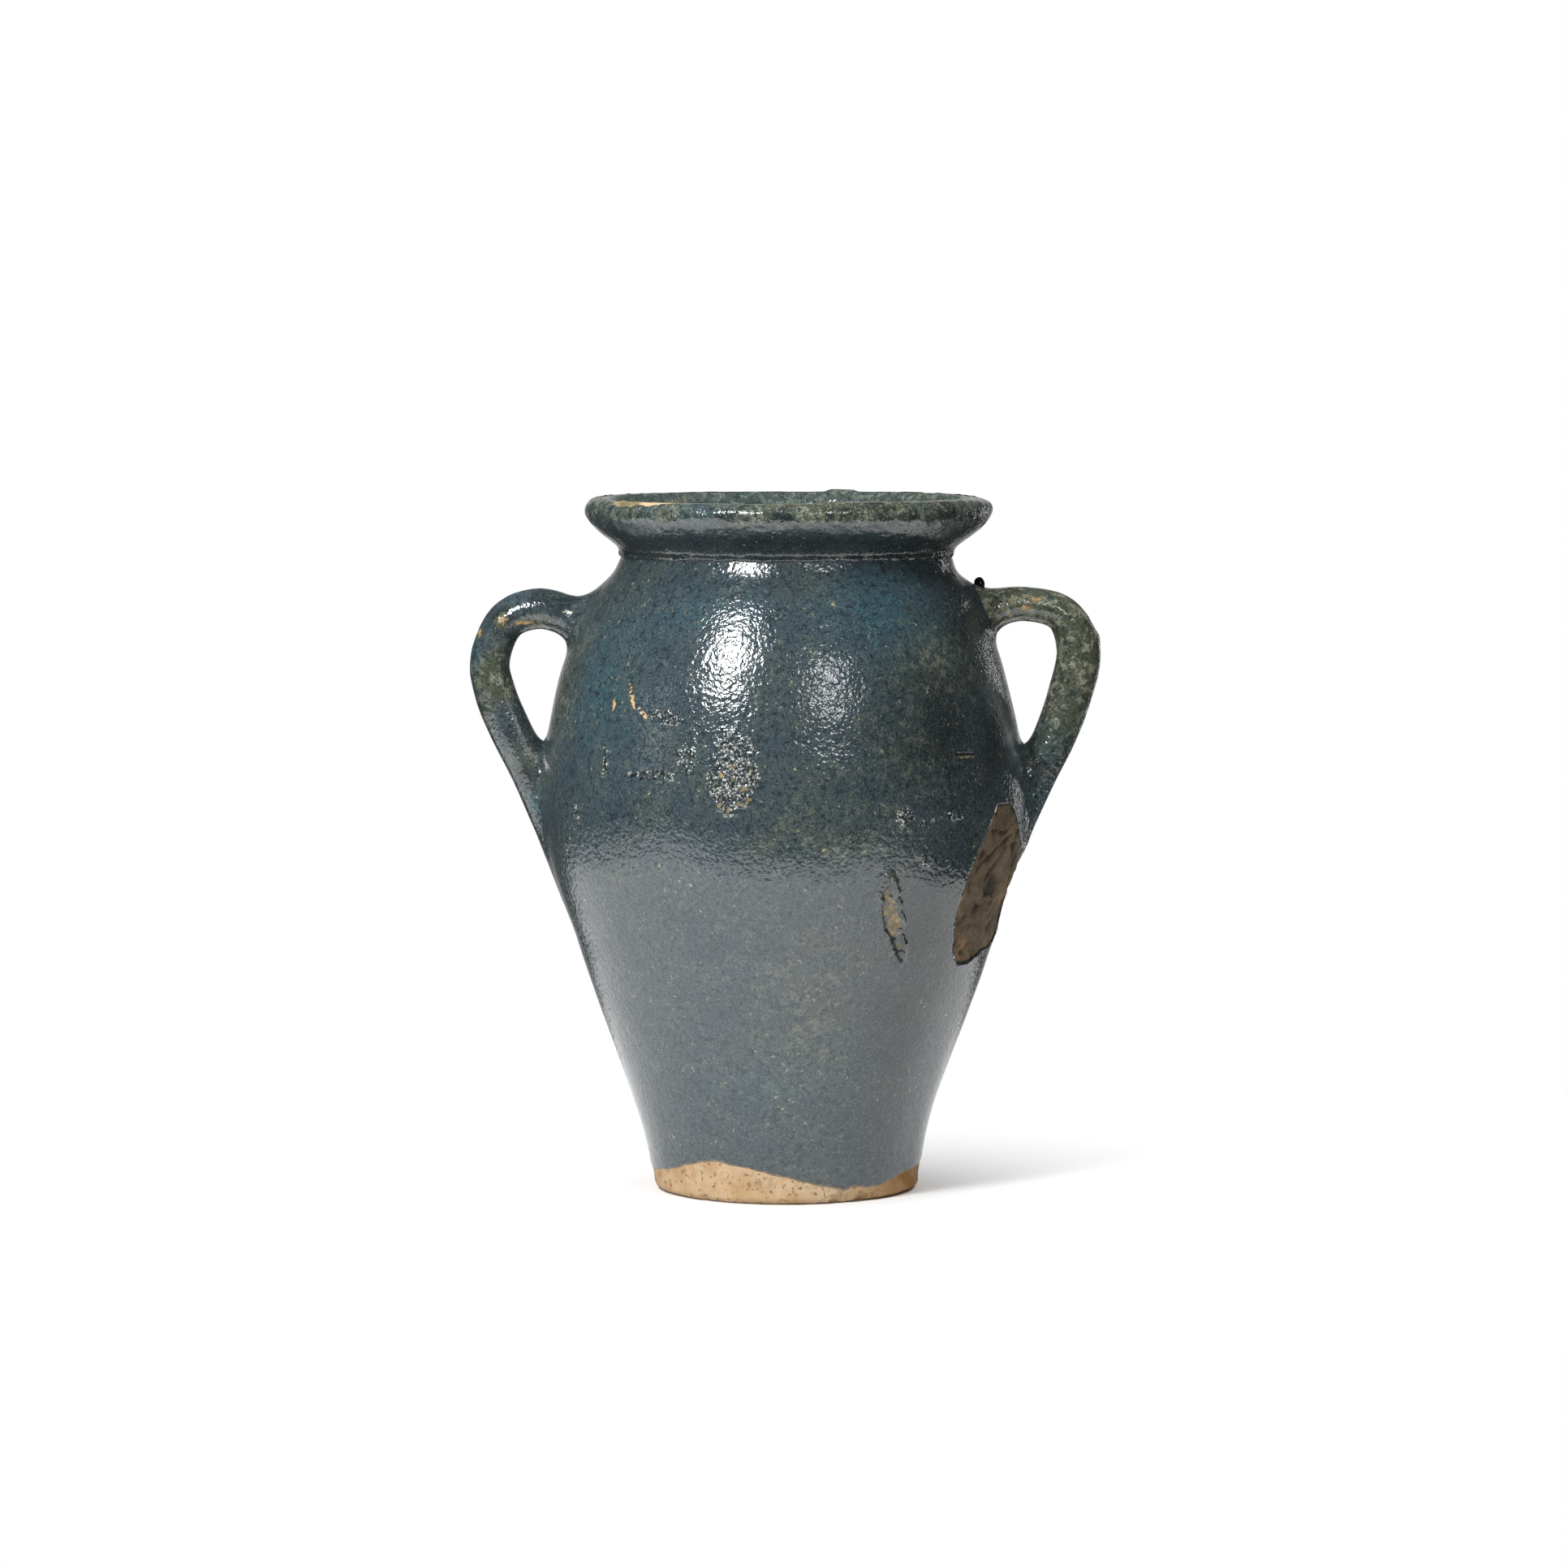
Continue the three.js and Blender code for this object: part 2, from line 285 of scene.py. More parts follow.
BELLY_JOINT = 229.0
NECK_JOINT = 365.5
FLAKE_WALL = 133.0  # radius of the wall at the flake, which turns bearings into mm
# The flake's edge, as points of bearing and height.
FLAKE_OUTLINE = [
    (57.5, 224), (59.5, 227.5), (64, 228), (68.5, 226), (72, 219), (75, 211), (79, 204), (85, 201.5),
    (91, 196), (95, 188), (99, 181), (100, 172), (96, 164), (93, 155), (85, 149), (78, 142.5), (70, 141),
    (62, 137), (56, 137), (51.5, 148), (48.8, 169), (49.6, 190), (53, 208),
]
FLAKE_DEPTH = 1.2  # in mm, before the ridges of the break
LOWER_TURNS = 260
COARSE_WITHIN = 113  # mm from the axis; nearer than this the flake's faces are left coarse


def flat_on_wall(turn, z):
    """Bearing and height as mm across and up the wall at the flake."""
    return np.stack([np.radians(turn) * FLAKE_WALL, z], axis=-1)


flake_edge = curve_through([*FLAKE_OUTLINE[-2:], *FLAKE_OUTLINE, *FLAKE_OUTLINE[:2]], 0.6)
flake_edge = curve_through(flat_on_wall(flake_edge[:, 0], flake_edge[:, 1])[::4], 0.7)
ragged = np.stack([lumps(np.pad(flake_edge, ((0, 0), (0, 1))), 6, s) for s in (3.0, 8.0)], axis=1)
ragged += 0.5 * np.stack([lumps(np.pad(flake_edge, ((0, 0), (0, 1))), 2, s) for s in (1.0, 6.0)], axis=1)
flake_edge = flake_edge + ragged * 1.1


def inside_flake(turn, z):
    """Distance in mm from the flake's edge, positive inside it, and the nearest point of the edge."""
    spot = flat_on_wall(turn, z)
    distance = np.full(len(spot), -99.0)
    nearest = spot.copy()
    close = np.nonzero((turn > 40) & (turn < 125) & (z > 125) & (z < 240))[0]
    for part in np.array_split(close, max(1, len(close) // 4000)):
        gap = spot[part, None, :] - flake_edge[None]
        length = np.hypot(gap[..., 0], gap[..., 1])
        first = length.argmin(axis=1)
        a = flake_edge
        b = np.roll(flake_edge, -1, axis=0)
        y = spot[part, 1][:, None]
        crosses = (a[:, 1] > y) != (b[:, 1] > y)
        rise_of = np.where(b[:, 1] == a[:, 1], 1.0, b[:, 1] - a[:, 1])
        at = a[:, 0] + (y - a[:, 1]) * (b[:, 0] - a[:, 0]) / rise_of
        within = (crosses & (spot[part, 0][:, None] < at)).sum(axis=1) % 2 == 1
        distance[part] = np.where(within, 1, -1) * length[np.arange(len(part)), first]
        nearest[part] = flake_edge[first]
    return distance, nearest


def refine(bm, chosen):
    """Subdivides every face that is chosen by a function of its centre's bearing and place in mm."""
    centres = np.array([f.calc_center_median() for f in bm.faces]) / MM
    picked = chosen(bearing(centres), centres)
    edges = {e for f, yes in zip(bm.faces, picked) if yes for e in f.edges}
    bmesh.ops.subdivide_edges(bm, edges=list(edges), cuts=1, use_grid_fill=True)


# Weathered break: the same clay, but broken across and stained by age. It is dull brown, with grit, short
# steps in the break and one rusty fleck, and painted shade darkens the steps' hollows and the inside of its
# edge.
def weathered_break():
    m = new_material("weathered_earthenware_break")
    here = node(m, "TexCoord", output="Object")
    patch = node(m, "TexNoise", (here, 1 / (24 * MM), 4, 0.6))
    share = node(m, "MapRange", (patch, 0.32, 0.5))
    colour = node(m, "Mix", (share, srgb("#4e4436"), srgb("#635645")), **COLOUR)
    share = node(m, "MapRange", (patch, 0.5, 0.66))
    colour = node(m, "Mix", (share, colour, srgb("#796952")), **COLOUR)
    grit = node(m, "TexNoise", (here, 1 / (1.5 * MM), 4, 0.7))
    share = node(m, "MapRange", (grit, 0.45, 0.8), **SOFT)
    colour = node(m, "Mix", (share, colour, srgb("#74664f")), **COLOUR)
    dirt = node(m, "TexNoise", (here, 1 / (5 * MM), 4, 0.7))
    share = node(m, "MapRange", (dirt, 0.56, 0.72), **SOFT)
    colour = node(m, "Mix", (share, colour, srgb("#332b23")), **COLOUR)
    # Painted shade: the hollows between the break's steps and a strip just inside its edge are darkened.
    deep = node(m, "Attribute", output="Fac", attribute_name="deep")
    share = node(m, "Math", (deep, 0.85), **TIMES_HELD)
    colour = node(m, "Mix", (share, colour, srgb("#2a241c")), **COLOUR)
    rust = node(m, "Attribute", output="Fac", attribute_name="rust")
    colour = node(m, "Mix", (rust, colour, srgb("#96592a")), **COLOUR)
    height = node(m, "Math", (dirt, 1.5, grit), operation="MULTIPLY_ADD")
    bump = node(m, "Bump", {"Height": height, "Strength": 0.9, "Distance": 0.5 * MM})
    look = {"Base Color": colour, "Roughness": 0.9, "Normal": bump, "Specular IOR Level": 0.25}
    node(m, "OutputMaterial", {"Surface": node(m, "BsdfPrincipled", look)})
    return m


def ring(outside, inside):
    """A closed outline of a wall: up its outside, down its inside and back to the start."""
    return np.vstack([outside, inside[::-1], outside[:1]])


lower_out = face_between(clay_face, FOOT_JOINT, BELLY_JOINT, 2.2)
inside_face = curve_through(WALL_INSIDE, 1.0)
lower_in = face_between(inside_face, FOOT_JOINT, BELLY_JOINT, 12)
bm = throw(ring(lower_out, lower_in), LOWER_TURNS)


def at_flake(turn, centres):
    """Faces in the flake or within 3 mm of it."""
    far_out = np.hypot(centres[:, 0], centres[:, 1]) > COARSE_WITHIN
    return (inside_flake(turn, centres[:, 2])[0] > -3) & far_out


for _ in range(2):
    refine(bm, at_flake)
p, n = places(bm)
outer = (n * p * [1, 1, 0]).sum(axis=1) > 0
depth_in, _ = inside_flake(bearing(p), p[:, 2])
hollow = ease(depth_in, -0.3, 7)
spot = flat_on_wall(bearing(p), p[:, 2])
slant = spot @ np.array([-0.55, 0.83])
steps = (slant / 14 + 1.7 * lumps(p, 26) + 0.25 * lumps(p, 7, 3)) % 1.0
ridges = 1.6 * steps * ease(lumps(p, 17, 5), -0.6, 0.1) + 1.1 * lumps(p, 8, 4) + 0.5 * lumps(p, 3, 2)
rise = throwing(p) - hollow * (FLAKE_DEPTH + ridges)
# Painted shade for the break: darker where the ridges cut deep and just inside the edge.
deep = ease(ridges, 0.4, 1.6) + (1 - ease(depth_in, 0.3, 1.6)) * (depth_in > 0)
rust = np.exp(-(((spot - flat_on_wall(np.array(58.5), np.array(147.0))) ** 2).sum(axis=1) / 8))
rust = rust * ease(lumps(p, 2, 3), -0.5, 0.2)
p = p + n * np.where(outer, rise, 0)[:, None]
p[:, 0] += lean(p[:, 2])
put(bm, p)
clay_lower_wall = piece("clay_lower_wall", bm, weathered_break(), rust=rust, deep=deep)
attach(clay_lower_wall, "root")
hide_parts("lower_wall")

# ---- The clay of the shoulder ----
# The belly and shoulder close in from the widest girth to the crease below the collar. The wall is
# bare earthenware inside and out until it is glazed.

SHOULDER_TURNS = 180
shoulder_out = face_between(clay_face, BELLY_JOINT, NECK_JOINT, 3)
shoulder_in = face_between(inside_face, BELLY_JOINT, NECK_JOINT, 9)
bm = throw(ring(shoulder_out, shoulder_in), SHOULDER_TURNS)
p, n = places(bm)
outer = (n * p * [1, 1, 0]).sum(axis=1) > 0
p = p + n * np.where(outer, throwing(p), 0)[:, None]
p[:, 0] += lean(p[:, 2])
put(bm, p)
clay_shoulder = piece("clay_shoulder", bm, bare_clay)
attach(clay_shoulder, "root")
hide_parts("shoulder_wall")

# ---- The clay of the collar and the rolled lip ----
# The collar flares out of the crease and the lip is its edge, folded outwards and pressed into a roll.

LIP_JOINT = 383.5
RIM_TURNS = 180
COLLAR_OUT = [(94.6, 365.5), (95.3, 369.2), (97.3, 372), (101.6, 375.6), (106.8, 379.6), (111.0, LIP_JOINT)]
COLLAR_IN = [(86.2, 365.5), (89.5, 371.5), (94.5, 378), (98.5, LIP_JOINT)]
LIP_OUT = [(111.0, LIP_JOINT), (114.2, 387.2), (116.1, 391.2), (115.9, 395), (113, 397.9), (108.5, 399)]
LIP_IN = [(98.5, LIP_JOINT), (99.8, 389.5), (101.5, 394.5), (104.6, 397.8), (108.4, 398.98)]
for name, stands_for, outside, inside in (
    ("clay_collar", "neck_collar", COLLAR_OUT, COLLAR_IN),
    ("clay_lip", "rolled_lip", LIP_OUT, LIP_IN),
):
    bm = throw(ring(curve_through(outside, 1.5), curve_through(inside, 3)), RIM_TURNS)
    p, _ = places(bm)
    p[:, 0] += lean(p[:, 2])
    put(bm, p)
    made = piece(name, bm, bare_clay)
    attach(made, "root")
    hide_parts(stands_for)

# ---- The clay of the handles ----
# Each handle is a strap pulled from a lump of wet clay, pressed onto the shoulder, bent over and
# smeared into the lower belly. The two differ by a few millimetres, as pulled handles do.

# Along each glazed handle: distance from the axis, height, half thickness in the bend's plane and half
# width in Y. The clay is CLAY_INSIDE mm within it.
CLAY_INSIDE = 1.3
LEFT_PULL = [
    (98, 328.5, 12, 18), (120, 330.5, 11.5, 16), (143, 335.5, 11.8, 15), (161, 328.3, 11.4, 14.5),
    (170.6, 305, 11.5, 14.5), (167.3, 286, 12, 14.5), (160, 268, 12.1, 15), (146.5, 240.7, 12, 15.5),
    (131.6, 206.7, 12, 17), (117, 174, 11, 18),
]
RIGHT_PULL = [
    (98, 333, 12, 18), (120, 336.2, 11, 16), (138, 338.2, 9.9, 15), (159.5, 332.3, 10.6, 14.5),
    (168.8, 312, 12.6, 14.5), (164.3, 287, 12.8, 14.5), (155.8, 263, 12.3, 15), (145, 240.7, 12, 15.5),
    (129.2, 206.7, 12, 17), (114.5, 174, 11, 18),
]
HANDLES = {
    "left": {"side": -1, "line": curve_through(LEFT_PULL, 1.5)},
    "right": {"side": 1, "line": curve_through(RIGHT_PULL, 1.5)},
}
for handle in HANDLES.values():
    run = np.gradient(handle["line"][:, :2], axis=0)
    run /= np.linalg.norm(run, axis=1)[:, None]
    handle["run"] = run
    handle["out"] = np.stack([-run[:, 1], run[:, 0]], axis=1)  # to the outside of the bend


def pull(handle, growth, around):
    """The strap as a closed mesh with an oval section, its glazed face moved outwards by some mm."""
    line = handle["line"]
    bm = bmesh.new()
    bmesh.ops.create_grid(bm, x_segments=len(line) - 1, y_segments=around, size=0.5)
    uv = np.array([v.co for v in bm.verts])
    station = np.rint((uv[:, 0] + 0.5) * (len(line) - 1)).astype(int)
    turn = (uv[:, 1] + 0.5) * math.tau
    half = line[station, 2:] + growth
    across = np.cos(turn) * half[:, 0]
    plane = line[station, :2] + handle["out"][station] * across[:, None]
    p = np.stack([handle["side"] * plane[:, 0], np.sin(turn) * half[:, 1], plane[:, 1]], axis=1)
    put(bm, p)
    bmesh.ops.remove_doubles(bm, verts=bm.verts, dist=0.01 * MM)
    bmesh.ops.holes_fill(bm, edges=[e for e in bm.edges if e.is_boundary], sides=0)
    bmesh.ops.recalc_face_normals(bm, faces=bm.faces)
    return bm


def stop_in_wall(p):
    """Holds a luted end of a handle in the middle of the wall, so that none of it shows inside the jar."""
    z = p[:, 2]
    outer = np.interp(z, clay_face[:, 1], clay_face[:, 0])
    inner = np.interp(z, inside_face[:, 1], inside_face[:, 0])
    middle = outer / 2 + inner / 2
    axis = np.stack([lean(z), 0 * z, z], axis=1)
    radius = np.linalg.norm(p - axis, axis=1)
    return axis + (p - axis) * np.maximum(middle / radius, 1)[:, None]


for name, handle in HANDLES.items():
    bm = pull(handle, -CLAY_INSIDE, 48)
    put(bm, stop_in_wall(places(bm)[0]))
    made = piece(f"clay_handle_{name}", bm, bare_clay)
    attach(made, "root")
    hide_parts(f"handle_{name}")

# ---- The glaze on the body ----
# The jar was dipped: one skin of lead glaze runs from the neck's crease over the shoulder, belly and
# lower wall and stops in a wavy line above the foot. It pools blue in the hollows and breaks tan.

GLAZE = 1.0  # how far the glaze's face stands over the clay's, in mm
BODY_TURNS = 336
ROW = 2.0  # spacing of the skin's rows, in mm
# The wavy line where the glaze stops, as points of bearing and height, once round the foot.
GLAZE_LINE = [
    (-90, 9.6), (-53, 17), (-45, 20.4), (-31, 23.6), (-22, 22), (-11, 19.4), (-5, 17.6), (2, 15),
    (11, 11.8), (19, 9.4), (25, 7.6), (31, 9.4), (37, 8), (44, 7.6), (47, 9), (60, 12.8), (90, 13.8),
    (130, 9), (165, 17), (200, 21), (235, 12), (270, 9.6),
]
glaze_line = curve_through(GLAZE_LINE, 1.0)


def line_height(turn):
    """Height of the glaze's lower edge at a bearing."""
    wrapped = (turn + 90) % 360 - 90
    wave = 0.2 * np.sin(np.radians(turn) * 19) + 0.15 * np.sin(np.radians(turn) * 37 + 1)
    return np.interp(wrapped, glaze_line[:, 0], glaze_line[:, 1]) + wave


def over_handle(handle, p):
    """Roughly the distance in mm from a handle's glazed face, negative inside it."""
    distance = np.full(len(p), 99.0)
    x = p[:, 0] * handle["side"]
    close = np.nonzero((x > 85) & (abs(p[:, 1]) < 50) & (p[:, 2] > 145) & (p[:, 2] < 375))[0]
    line = handle["line"]
    for part in np.array_split(close, max(1, len(close) // 8000)):
        spot = np.stack([x[part], p[part, 2]], axis=1)
        gap = spot[:, None, :] - line[None, :, :2]
        near = (gap**2).sum(axis=2).argmin(axis=1)
        offset = spot - line[near, :2]
        out = (offset * handle["out"][near]).sum(axis=1)
        run = (offset * handle["run"][near]).sum(axis=1)
        past_end = np.maximum(abs(run) - 1, 0)
        a = line[near, 2]
        b = line[near, 3]
        y = p[part, 1]
        k = np.sqrt((out / a) ** 2 + (y / b) ** 2) + 1e-6
        off = k * (k - 1) / (np.sqrt((out / a**2) ** 2 + (y / b**2) ** 2) + 1e-6)
        distance[part] = np.hypot(np.maximum(off, 0), past_end) + np.minimum(off, 0)
    return distance


def over_handles(p):
    """Roughly the distance in mm from the nearer handle's glazed face."""
    return np.minimum(over_handle(HANDLES["left"], p), over_handle(HANDLES["right"], p))


def fillet(a, b, z):
    """Two distances as one, with the smeared clay between body and handle as a smooth fillet."""
    k = np.interp(z, [235, 310], [6, 14])
    h = np.maximum(k - abs(a - b), 0) / k
    return np.minimum(a, b) - h * h * k / 4


glaze_face = clay_face.copy()
slope = np.gradient(clay_face[:, 0]) / np.gradient(clay_face[:, 1])
glaze_face[:, 0] += GLAZE * np.sqrt(1 + slope**2)


def over_body(p):
    """Roughly the distance in mm from the body's glazed face, negative inside it."""
    z = p[:, 2]
    radius = np.hypot(p[:, 0] - lean(z), p[:, 1])
    steep = np.interp(z, glaze_face[:, 1], slope)
    return (radius - np.interp(z, glaze_face[:, 1], glaze_face[:, 0]) - throwing(p)) / np.sqrt(1 + steep**2)


def seat(p, n, own, other):
    """Moves a surface along its normals onto the fillet between it and another, and past the line where
    the other is nearer it dips below it. own is the distance at the start."""
    t = np.zeros(len(p))
    for _ in range(8):
        spot = p + n * t[:, None]
        t = np.clip(t - 0.8 * fillet(own(spot, t), other(spot), spot[:, 2]), -2, 6)
    spot = p + n * t[:, None]
    mine = own(spot, t)
    theirs = other(spot)
    dip = np.clip((mine - theirs) * 0.35, 0, 2.5)
    return p + n * (np.where(theirs > 40, 0, t) - dip)[:, None]


# Every mark in the glaze has a bearing, height, half width, half height and tilt in degrees. The bumps
# have their rise in mm as well.
BUMPS = [
    (30, 329.5, 7, 2.2, -6, 0.9), (33, 308, 3, 2, 0, 0.6), (21, 352, 3, 4, 10, 0.5),
    (28.5, 224, 4, 6, -20, 1.3), (36.5, 223, 3, 2.5, 0, 0.8), (43, 224, 4, 2.5, 0, 0.8),
    (33, 203, 3, 3, 0, 1.0),
]
# Small rough spots that catch the light; in the glaze they also get painted glints and painted shade
# between domes.
SPARKLES = [
    (28.5, 224, 5.5, 8, -20), (35, 222, 8, 2.6, 0), (43, 224, 7, 3.2, 0), (35, 200, 4, 4, 0),
    (-57, 223, 3, 7, 5), (-63, 201, 4, 5, 0), (-32, 248, 23, 3.4, 0), (-23, 258, 7, 8, 30),
    (-47, 252, 2, 9, 0), (-30, 280, 14, 4, -15),
]
PATCH = (-11.6, 250.5, 16, 26, 0)  # a patch that boiled in the firing
SCAR = (27.9, 167.5, 6.5, 26, 19)  # where the jar stuck to its neighbour and was broken away
# Short scrapes through the glaze, and one short crack with a thin lower lip.
SCRATCHES = [(-46.6, 288.5, 1.5, 11, 6), (-40.5, 291.5, 2.0, 10, 24), (-36.2, 281.5, 1.5, 6, 45)]
CRACK = (49, 258, 9, 1.3, -3)


def local(turn, z, at, height, tilt):
    """Mm across and up from a mark's centre, turned with the mark."""
    wall = np.interp(height, glaze_face[:, 1], glaze_face[:, 0])
    across = np.radians((turn - at + 180) % 360 - 180) * wall
    up = z - height
    c, s = math.cos(math.radians(tilt)), math.sin(math.radians(tilt))
    return across * c + up * s, up * c - across * s


def oval(turn, z, mark, p, rough=0.0, size=4.0):
    """1 at the centre of a mark, 0 at its edge and below that outside, with a ragged outline."""
    across, up = local(turn, z, mark[0], mark[1], mark[4])
    return 1 - np.hypot(across / mark[2], up / mark[3]) + rough * lumps(p, size, 2)


def near_mark(turn, centres):
    """Faces near the glaze line, the flake's edge or a mark, which need a finer mesh."""
    z = centres[:, 2]
    chosen = abs(z - line_height(turn)) < 3.5
    flake, _ = inside_flake(turn, z)
    chosen |= abs(flake) < 2.2
    for mark in (PATCH, SCAR, *SPARKLES, *SCRATCHES, CRACK):
        across, up = local(turn, z, mark[0], mark[1], mark[4])
        chosen |= (abs(across) < mark[2] + 4) & (abs(up) < mark[3] + 4)
    return chosen


def in_mark(turn, centres):
    """Faces in the larger marks, which need the finest mesh."""
    z = centres[:, 2]
    chosen = np.zeros(len(z), bool)
    for mark in (PATCH, SCAR, *SCRATCHES, CRACK):
        across, up = local(turn, z, mark[0], mark[1], mark[4])
        chosen |= np.hypot(across / (mark[2] + 2), up / (mark[3] + 2)) < 1
    return chosen


def cloud(p, turn, spots):
    """0 to 1: soft-edged areas of a tint, from rows of bearing, height, half width and height, weight."""
    total = np.zeros(len(p))
    ragged = lumps(p, 24, 2) * 0.5 + lumps(p, 8, 5) * 0.25
    for at, height, wide, high, weight in spots:
        across, up = local(turn, p[:, 2], at, height, 0)
        total = np.maximum(total, weight * np.exp(-((across / wide) ** 2) - (up / high) ** 2))
    return np.clip(total * (1 + ragged), 0, 1)


# Where the glaze pooled blue, where it fired olive, and where it is dark: bearing, height, half width,
# half height, weight. The dark clouds on the right of the body are painted shade, away from the key light;
# the one at the back is glaze that fired dark.
BLUE_POOLS = [
    (34, 338, 42, 26, 1.0), (-50, 292, 36, 46, 0.6), (-22, 338, 38, 18, 0.5), (-4, 70, 70, 24, 0.3),
    (62, 75, 40, 30, 0.3), (150, 290, 60, 45, 0.8), (-140, 120, 60, 60, 0.6), (105, 330, 34, 28, 0.6),
]
OLIVE_CLOUDS = [
    (46, 305, 26, 22, 0.6), (34, 262, 34, 26, 0.35), (-74, 292, 18, 40, 0.5), (8, 118, 24, 38, 0.3),
    (-120, 300, 50, 40, 0.5), (170, 205, 60, 36, 0.4), (120, 90, 40, 50, 0.35), (12, 215, 40, 16, 0.3),
]
DARK_GLAZE_AND_SHADE_CLOUDS = [
    (50, 268, 60, 42, 1.0), (70, 330, 44, 44, 1.0), (-160, 250, 60, 50, 0.7),
    (44, 135, 32, 80, 1.0), (75, 130, 44, 70, 0.8),
]

SKIN_LOW = 4.5  # the skin's lower end, sunk in the clay below the wavy line
TORN = (60, 300)  # heights between which the flake's edge is the only open edge
body_out = face_between(clay_face, SKIN_LOW, NECK_JOINT + 0.1, 0.5)
body_out = curve_through([*body_out[::6], (94, 366.4), (93, 368)], ROW)
bm = throw(body_out, BODY_TURNS)
refine(bm, near_mark)
refine(bm, in_mark)
p, n = places(bm)
if (n * p * [1, 1, 0]).sum() < 0:
    bmesh.ops.reverse_faces(bm, faces=bm.faces)
centres = np.array([f.calc_center_median() for f in bm.faces]) / MM
lost, _ = inside_flake(bearing(centres), centres[:, 2])
bmesh.ops.delete(bm, geom=[f for f, d in zip(bm.faces, lost) if d > 0], context="FACES")


def on_torn_edge(bm):
    """Which vertices lie on the open edge round the flake."""
    return np.array([v.is_boundary and TORN[0] * MM < v.co.z < TORN[1] * MM for v in bm.verts])


p, _ = places(bm)
_, edge_spot = inside_flake(bearing(p), p[:, 2])
new_turn = edge_spot[:, 0] / FLAKE_WALL
new_radius = np.interp(edge_spot[:, 1], clay_face[:, 1], clay_face[:, 0])
snapped = np.stack([new_radius * np.sin(new_turn), -new_radius * np.cos(new_turn), edge_spot[:, 1]], axis=1)
torn = on_torn_edge(bm)
p[torn] = snapped[torn]
put(bm, p)
torn_edges = [e for e in bm.edges if e.is_boundary and TORN[0] < e.verts[0].co.z / MM < TORN[1]]
bmesh.ops.extrude_edge_only(bm, edges=torn_edges)
buried = on_torn_edge(bm)
p, _ = places(bm)
turn = bearing(p)
z = p[:, 2]
steep = np.interp(z, clay_face[:, 1], slope)
n = np.stack([np.sin(np.radians(turn)), -np.cos(np.radians(turn)), -steep], axis=1)
n /= np.linalg.norm(n, axis=1)[:, None]

above = z - line_height(turn)
rise = np.where(above > 0, GLAZE * np.clip(above / 5, 0, 1) ** 0.6, np.maximum(above, -2.5) * 0.8)
rise = rise + throwing(p)
for mark in BUMPS:
    rise += mark[5] * ease(oval(turn, z, mark, p, 0.15, 3), 0, 0.7)
# The boiled patch: real blisters here, and in the glaze painted glints on dome tops and painted shade
# between them.
boiled = ease(oval(turn, z, PATCH, p, 0.25, 6), 0, 0.25)
blisters = ease(lumps(p, 2.0, 1), -0.2, 0.4)
rise += boiled * (0.1 + 0.65 * blisters)
thin = 0.57 * boiled * ease(lumps(p, 4, 12) - (z - PATCH[1]) / 70, 0.3, 0.5)
for mark in SPARKLES:
    spark = ease(oval(turn, z, mark, p, 0.6, 3), 0, 0.35) * ease(lumps(p, 2.6, 7), -0.3, 0.0)
    rise += spark * (0.3 + 0.8 * lumps(p, 2.2, 3))
    # The sparkle spots join the boiled mask, and so get its painted glints and painted shade.
    boiled = np.maximum(boiled, 1.5 * spark)
scar = oval(turn, z, SCAR, p, 0.36, 7)
scar_bare = ease(scar, 0.12, 0.4)
rim_of_scar = np.exp(-(((scar - 0.02) / 0.17) ** 2)) * np.clip(0.8 + 0.7 * lumps(p, 2.6, 8), 0, 1.2)
rise += 1.6 * rim_of_scar - scar_bare * (0.7 + 0.5 * lumps(p, 2.5, 3))
for mark in SCRATCHES:
    cut = ease(oval(turn, z, mark, p, 0.9, 2.5), 0.0, 0.4) * ease(lumps(p, 1.8, 4), -0.35, 0.0)
    rise -= 0.5 * cut
    thin = np.maximum(thin, cut)
split = ease(oval(turn, z, CRACK, p, 0.6, 4), 0, 0.4)
rise -= 0.9 * split
lower_lip = (CRACK[0], CRACK[1] - 1.8, *CRACK[2:])
thin = np.maximum(thin, 0.5 * ease(oval(turn, z, lower_lip, p, 0.6, 4), 0, 0.5) * (1 - split))
bare = scar_bare * (0.48 + 0.35 * lumps(p, 3, 2))
bare = np.maximum(bare, 0.52 * (1 - ease(above + 0.8 * lumps(p, 3, 6), 0, 3.5)))
blue = cloud(p, turn, BLUE_POOLS)
olive = np.maximum(cloud(p, turn, OLIVE_CLOUDS), 0.5 * rim_of_scar)
# Dark share: the clouds, mostly painted shade on the right of the body, with the scar's rim and the crack.
dark = np.maximum(cloud(p, turn, DARK_GLAZE_AND_SHADE_CLOUDS), 0.8 * rim_of_scar)
dark = np.maximum(dark, split)
p = p + n * rise[:, None]
p[:, 0] += lean(z)
p = seat(p, n, lambda spot, t: t, over_handles)
p[buried] -= n[buried] * 1.6
put(bm, p)
tints = {"thin": thin, "boiled": boiled, "blue": blue, "olive": olive, "dark": dark, "bare": bare}


